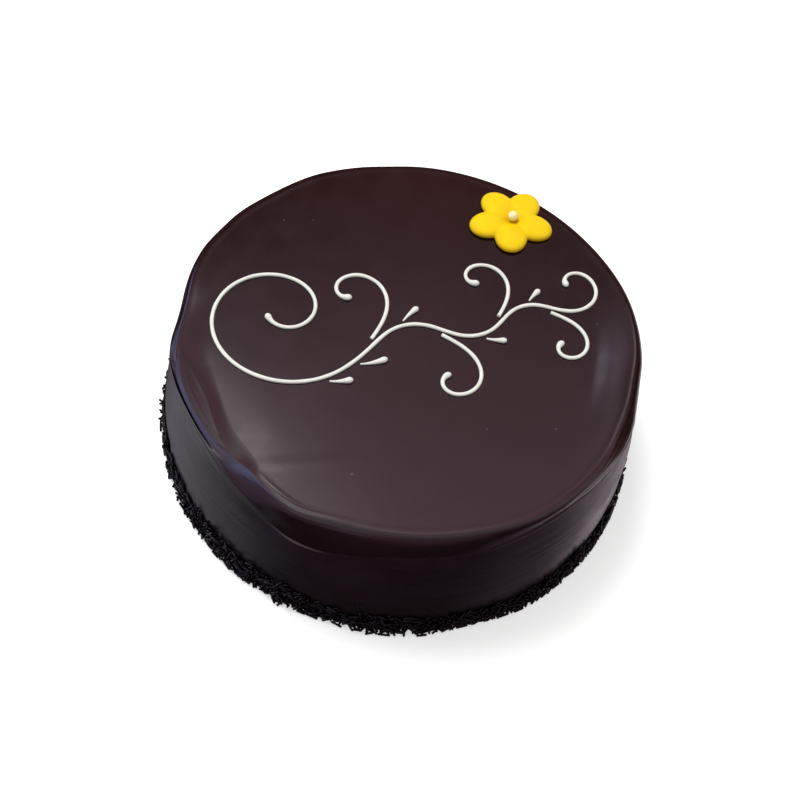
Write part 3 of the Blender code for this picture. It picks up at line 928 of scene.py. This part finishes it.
def pearl_look():
    """A pale sugar pearl, with painted light: paler at its top, and yellower low down, where the petals shine on it."""
    look, tree, shader = principled("Pale pearl", Roughness=0.3)
    place = node(tree, "ShaderNodeTexCoord").outputs["Object"]
    face = blend(tree, mask(tree, place, 400), (0.90, 0.85, 0.42, 1), (0.94, 0.90, 0.52, 1))
    # painted light: a paler top as a painted highlight, and yellow low down as painted light from the petals
    pale = blend(tree, height_share(tree, place, 1.8 * MM, 5.0 * MM), (0.80, 0.64, 0.10, 1), face)
    tree.links.new(pale, shader.inputs["Base Color"])
    tree.links.new(spread_evenly(tree, mask(tree, place, 600), 0, 1, 0.25, 0.36), shader.inputs["Roughness"])
    return look


# ---- the piped scroll ----

LINE_RADIUS = 0.85 * MM
BLOB_RADIUS = 1.45 * MM
LEAF_RADIUS = 1.65 * MM
GAP = 0.3 * MM
SCROLL_START = (-58.0 * MM, 22.0 * MM)
SCROLL_HEADING = -86
EASE = 14
SPIRAL = ((235, 9.0, 22), (160, 22, 34), (66, 34, 36), (20, 36, 0))
WAVES = ((-72, 19), (74, 17), (-68, 15))
TIP = ((14, 0, 15), (120, 15, 10.5), (190, 10.5, 4.2))
TENDRIL_SIZES = (18, 16, 15, 13)
LEAVES = ((-28, -1, 30, 9), (-13, -1, 42, 11), (16, 1, 40, 9), (51, -1, 40, 8), (79, 1, 50, 7))


def arc_length(arc):
    """Length in metres of one arc whose bend changes evenly along it."""
    turn, first, last = arc
    bends = [0 if radius == 0 else 1 / (radius * MM) for radius in (first, last)]
    return 2 * radians(abs(turn)) / sum(bends)


def drawn(start, heading, arcs):
    """Draws a row of arcs in short even steps, as points (x, y, heading)."""
    x, y = start
    track = []
    for arc in arcs:
        turn, first, last = arc
        side = 1 if turn > 0 else -1
        bend = 0 if first == 0 else side / (first * MM)
        last_bend = 0 if last == 0 else side / (last * MM)
        steps = round(arc_length(arc) / PEN_STEP)
        change = (last_bend - bend) / steps
        for _ in range(steps):
            track.append((x, y, heading))
            middle = radians(heading) + (bend + change / 4) * PEN_STEP / 2
            x += cos(middle) * PEN_STEP
            y += sin(middle) * PEN_STEP
            heading += degrees((bend + change / 2) * PEN_STEP)
            bend += change
    return track


def line_radius(along, length, start_radius, end_radius):
    """Half width of a piped line: blobs at its ends, rounded off, and a little thinner midway."""
    radius = LINE_RADIUS * (1 - 0.12 * sin(radians(180 * along / length)))
    for distance, blob in ((along, start_radius), (length - along, end_radius)):
        swollen = (blob - LINE_RADIUS) * exp(-((distance - blob) / (1.6 * blob)) ** 2)
        radius = max(radius, LINE_RADIUS + swollen) if blob > LINE_RADIUS else radius
        radius *= sqrt(1 - (1 - between(distance, -0.1 * blob, blob)) ** 2)
    return radius


def leaf_radius(along, length):
    """Half width of a leaf: a thin stalk that swells to a fat round end."""
    swelling = 0.45 * LINE_RADIUS + (LEAF_RADIUS - 0.45 * LINE_RADIUS) * (along / length) ** 1.5
    return swelling * sqrt(1 - (1 - between(length - along, -0.1 * LEAF_RADIUS, LEAF_RADIUS)) ** 2)


def surface_height(x, y):
    """The poured top under a point, with its ripples."""
    radius, azimuth = hypot(x, y), degrees(atan2(y, x))
    return top_height(radius) + top_ripple(x, y) - crease_drop(radius, azimuth) - dent_drop(radius, azimuth)


def pipe(name, node_name, track, width, look):
    """A piped line of icing: a soft bead, uneven as a hand pipes it, that has settled on the glaze."""
    length = len(track) * PEN_STEP
    stations = [0]
    while stations[-1] < len(track) - 1:
        along = stations[-1] * PEN_STEP
        end = min(along, length - along)
        step = min(0.9 * MM, 0.12 * MM + 0.25 * end)
        stations.append(min(len(track) - 1, stations[-1] + max(1, round(step / PEN_STEP))))
    curve = bpy.data.curves.new(name, "CURVE")
    curve.dimensions = "3D"
    curve.bevel_depth = 1
    curve.bevel_resolution = 4
    curve.use_fill_caps = True
    line = curve.splines.new("POLY")
    line.points.add(len(stations) - 1)
    for point, station in zip(line.points, stations):
        x, y = track[station][:2]
        radius = width(station * PEN_STEP, length)
        radius *= 1 + 0.10 * noise.noise(Vector((x * 180, y * 180, 4)))
        point.co = (x, y, 0.62 * radius, 1)
        point.radius = radius
    holder = bpy.data.objects.new(name, curve)
    scene.collection.objects.link(holder)
    solid = bpy.data.meshes.new_from_object(holder.evaluated_get(bpy.context.evaluated_depsgraph_get()))
    shape = bmesh.new()
    shape.from_mesh(solid)
    bpy.data.objects.remove(holder)
    bpy.data.meshes.remove(solid)
    bpy.data.curves.remove(curve)
    for vertex in shape.verts:
        vertex.co.z = max(vertex.co.z, -0.12 * MM) * 0.92 + surface_height(vertex.co.x, vertex.co.y)
    bmesh.ops.recalc_face_normals(shape, faces=shape.faces)
    return piece(name, shape, look, "white_icing", node_name)


def beside(track, along, side, distance):
    """A place beside the stem and the stem's heading there; side 1 is its left."""
    x, y, heading = track[round(along / PEN_STEP)]
    across = radians(heading + 90 * side)
    return (x + distance * cos(across), y + distance * sin(across)), heading


def wave(turn, radius):
    """One bend of the waving stem, eased in and out of the straight."""
    ease = EASE if turn > 0 else -EASE
    return ((ease, 0, radius), (turn - 2 * ease, radius, radius), (ease, radius, 0))


def build_scroll(look):
    arcs = list(SPIRAL)
    joints = [sum(arc_length(arc) for arc in arcs)]
    for bend in WAVES:
        arcs.extend(wave(*bend))
        joints.append(sum(arc_length(arc) for arc in arcs))
    arcs.extend(TIP)
    stem = drawn(SCROLL_START, SCROLL_HEADING, arcs)
    pipe("piped_stem", "scroll_stem", stem, lambda along, length: line_radius(along, length, BLOB_RADIUS, BLOB_RADIUS), look)
    clear = LINE_RADIUS + BLOB_RADIUS + GAP
    for number, (along, size) in enumerate(zip(joints, TENDRIL_SIZES), 1):
        side = 1 if number % 2 == 1 else -1
        place, heading = beside(stem, along, side, clear)
        curl = ((38 * side, 0, size), (110 * side, size, 0.55 * size), (175 * side, 0.55 * size, 0.23 * size))
        pipe(f"piped_tendril_{number}", f"scroll_tendril_{number}", drawn(place, heading + 10 * side, curl),
             lambda along, length: line_radius(along, length, LINE_RADIUS, BLOB_RADIUS), look)
    for number, (along, side, angle, length) in enumerate(LEAVES, 1):
        place, heading = beside(stem, joints[0] + along * MM, side, clear)
        pipe(f"piped_leaf_{number}", f"scroll_leaf_{number}", drawn(place, heading + angle * side, ((-2 * side * length, 30, 30),)),
             leaf_radius, look)


add_camera()
add_world()
add_key_light()
add_floor()
build_top_coat(glaze_look())
build_bubbles(bubble_highlight_look())
build_side(side_look())
dark = sprinkle_look()
build_sprinkle_bed(dark)
build_sprinkles(dark)
build_flower(flower_look())
build_pearl(pearl_look())
build_scroll(icing_look())
